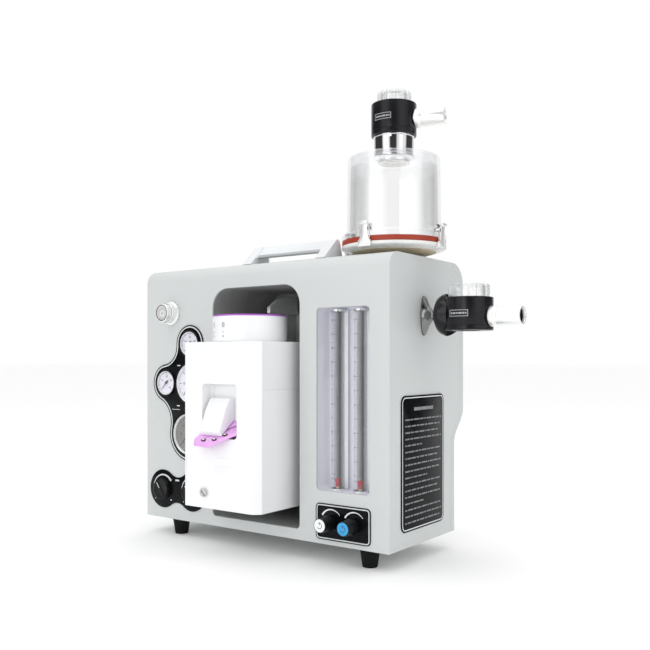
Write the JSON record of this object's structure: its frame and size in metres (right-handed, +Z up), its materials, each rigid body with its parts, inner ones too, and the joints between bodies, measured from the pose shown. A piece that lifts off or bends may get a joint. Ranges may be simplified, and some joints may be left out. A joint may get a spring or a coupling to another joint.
{
  "type": "portable veterinary anaesthesia machine",
  "caption": "Portable anaesthesia machine: grey case with gauges, flow meters, bay-mounted vaporizer, clear absorber dome and breathing valves.",
  "frame": {"origin": "middle of the whole object's box, at the bottom of the feet", "axes": "+X the user's right, towards the side valve; +Y from the front panel to the back; +Z up"},
  "size_m": [0.56, 0.282, 0.6125],
  "materials": {
    "shell_grey": "fine textured light grey powder coat",
    "bay_grey": "dark grey satin paint",
    "rubber_black": "matte moulded rubber",
    "handle_grey": "fine grained moulded plastic",
    "plate_black": "satin printed plate",
    "knob_black": "satin black moulding",
    "gauge_black": "black coated gauge case",
    "needle_black": "black lacquered pointer",
    "white_plastic": "smooth glossy white",
    "lavender_panel": "satin lavender white panel",
    "clear_plastic": "clear moulded plastic",
    "tube_glass": "clear glass tube",
    "float_red": "red float",
    "purple": "satin lilac moulding",
    "aluminium": "satin machined",
    "steel": "bright stainless",
    "chrome": "polished plating",
    "brass": "machined",
    "gasket_red": "red-brown silicone",
    "disc_white": "thin off-white disc"
  },
  "bodies": {
    "machine": {"case_shell": "shell_grey", "rear_cover": "shell_grey", "bay_liner": "bay_grey", "foot_front_left": "rubber_black", "foot_front_right": "rubber_black", "foot_back_left": "rubber_black", "foot_back_right": "rubber_black", "carry_handle": "handle_grey", "gauge_label": "plate_black", "selector_label": "plate_black", "control_plate": "plate_black", "side_label": "plate_black", "gauge_top": "gauge_black", "gauge_left": "gauge_black", "gauge_middle": "gauge_black", "gauge_lower": "gauge_black", "selector_block": "aluminium", "flush_valve": "aluminium", "flow_housing": "lavender_panel", "flow_window": "clear_plastic", "flow_tube_left": "tube_glass", "flow_tube_right": "tube_glass", "flow_manifold": "aluminium", "vaporizer_body": "white_plastic", "filler_block": "white_plastic", "filler_tray": "purple", "vaporizer_mount": "aluminium", "absorber_base": "white_plastic", "base_gasket": "gasket_red", "absorber_dome": "clear_plastic", "upper_valve_collar": "chrome", "side_valve_mount": "chrome", "side_valve_body": "knob_black", "side_valve_port": "aluminium", "oxygen_inlet": "brass"},
    "flush_button": {"flush_button": "chrome"},
    "dial": {"vaporizer_dial": "white_plastic"},
    "lock_lever": {"lock_lever": "steel"},
    "drain_screw": {"drain_screw": "steel"},
    "flow_knob_left": {"flow_knob_left": "knob_black"},
    "flow_knob_right": {"flow_knob_right": "knob_black"},
    "float_left": {"float_left": "float_red"},
    "float_right": {"float_right": "float_red"},
    "selector_knob_left": {"selector_knob_left": "knob_black"},
    "selector_knob_right": {"selector_knob_right": "knob_black"},
    "latch_front": {"latch_front": "steel"},
    "latch_right": {"latch_right": "steel"},
    "latch_back": {"latch_back": "steel"},
    "latch_left": {"latch_left": "steel"},
    "needle_top": {"needle_top": "needle_black"},
    "needle_left": {"needle_left": "needle_black"},
    "needle_middle": {"needle_middle": "needle_black"},
    "needle_lower": {"needle_lower": "needle_black"},
    "valve_head": {"upper_valve_body": "knob_black", "upper_valve_port": "aluminium"},
    "upper_cap": {"upper_valve_cap": "clear_plastic"},
    "upper_disc": {"upper_valve_disc": "disc_white"},
    "side_cap": {"side_valve_cap": "clear_plastic"},
    "side_disc": {"side_valve_disc": "disc_white"}
  },
  "joints": [
    {"name": "flush_press", "type": "slide", "parent": "machine", "child": "flush_button", "axis": [0, 1, 0], "range_m": [0, 0.005], "stiffness_N_per_m": 400, "springref_m": -0.004},
    {"name": "dial_turn", "type": "hinge", "parent": "machine", "child": "dial", "pos_m": [-0.0675, -0.066, 0.299], "axis": [0, 0, 1], "range_deg": [0, 270]},
    {"name": "lock_lift", "type": "hinge", "parent": "machine", "child": "lock_lever", "pos_m": [-0.0905, 0.059, 0.336], "axis": [-1, 0, 0], "range_deg": [0, 16]},
    {"name": "drain_unscrew", "type": "hinge", "parent": "machine", "child": "drain_screw", "pos_m": [-0.0962, -0.123, 0.0843], "axis": [0, -1, 0], "range_deg": [0, 1080]},
    {"name": "flow_turn_left", "type": "hinge", "parent": "machine", "child": "flow_knob_left", "pos_m": [0.0616, -0.057, 0.053], "axis": [0, -1, 0], "range_deg": [0, 900]},
    {"name": "flow_turn_right", "type": "hinge", "parent": "machine", "child": "flow_knob_right", "pos_m": [0.0963, -0.057, 0.053], "axis": [0, -1, 0], "range_deg": [0, 900]},
    {"name": "selector_turn_left", "type": "hinge", "parent": "machine", "child": "selector_knob_left", "pos_m": [-0.2435, -0.057, 0.067], "axis": [0, -1, 0], "range_deg": [0, 270]},
    {"name": "selector_turn_right", "type": "hinge", "parent": "machine", "child": "selector_knob_right", "pos_m": [-0.185, -0.057, 0.067], "axis": [0, -1, 0], "range_deg": [0, 270]},
    {"name": "float_rise_left", "type": "slide", "parent": "machine", "child": "float_left", "axis": [0, 0, 1], "range_m": [0, 0.21]},
    {"name": "float_rise_right", "type": "slide", "parent": "machine", "child": "float_right", "axis": [0, 0, 1], "range_m": [0, 0.21]},
    {"name": "latch_open_front", "type": "hinge", "parent": "machine", "child": "latch_front", "pos_m": [0.0945, -0.0347, 0.4005], "axis": [1, 0, 0], "range_deg": [0, 80]},
    {"name": "latch_open_right", "type": "hinge", "parent": "machine", "child": "latch_right", "pos_m": [0.1682, 0.039, 0.4005], "axis": [0, 1, 0], "range_deg": [0, 80]},
    {"name": "latch_open_back", "type": "hinge", "parent": "machine", "child": "latch_back", "pos_m": [0.0945, 0.1127, 0.4005], "axis": [-1, 0, 0], "range_deg": [0, 80]},
    {"name": "latch_open_left", "type": "hinge", "parent": "machine", "child": "latch_left", "pos_m": [0.0208, 0.039, 0.4005], "axis": [0, -1, 0], "range_deg": [0, 80]},
    {"name": "needle_sweep_top", "type": "hinge", "parent": "machine", "child": "needle_top", "pos_m": [-0.189, -0.0592, 0.2805], "axis": [0, 1, 0], "range_deg": [0, 270], "stiffness_Nm_per_rad": 0.0002, "springref_deg": -17.19},
    {"name": "needle_sweep_left", "type": "hinge", "parent": "machine", "child": "needle_left", "pos_m": [-0.2373, -0.0592, 0.2232], "axis": [0, 1, 0], "range_deg": [0, 270], "stiffness_Nm_per_rad": 0.0002, "springref_deg": -17.19},
    {"name": "needle_sweep_middle", "type": "hinge", "parent": "machine", "child": "needle_middle", "pos_m": [-0.185, -0.0592, 0.223], "axis": [0, 1, 0], "range_deg": [0, 270], "stiffness_Nm_per_rad": 0.0002, "springref_deg": -17.19},
    {"name": "needle_sweep_lower", "type": "hinge", "parent": "machine", "child": "needle_lower", "pos_m": [-0.191, -0.0592, 0.15], "axis": [0, 1, 0], "range_deg": [0, 270], "stiffness_Nm_per_rad": 0.0002, "springref_deg": -17.19},
    {"name": "valve_swivel", "type": "hinge", "parent": "machine", "child": "valve_head", "pos_m": [0.0945, 0.039, 0.574], "axis": [0, 0, 1], "continuous": true},
    {"name": "upper_cap_unscrew", "type": "hinge", "parent": "valve_head", "child": "upper_cap", "pos_m": [0.0945, 0.039, 0.604], "axis": [0, 0, 1], "range_deg": [0, 720]},
    {"name": "upper_disc_lift", "type": "slide", "parent": "valve_head", "child": "upper_disc", "axis": [0, 0, 1], "range_m": [0, 0.003]},
    {"name": "side_cap_unscrew", "type": "hinge", "parent": "machine", "child": "side_cap", "pos_m": [0.2093, 0.026, 0.344], "axis": [0, 0, 1], "range_deg": [0, 720]},
    {"name": "side_disc_lift", "type": "slide", "parent": "machine", "child": "side_disc", "axis": [0, 0, 1], "range_m": [0, 0.003]}
  ]
}
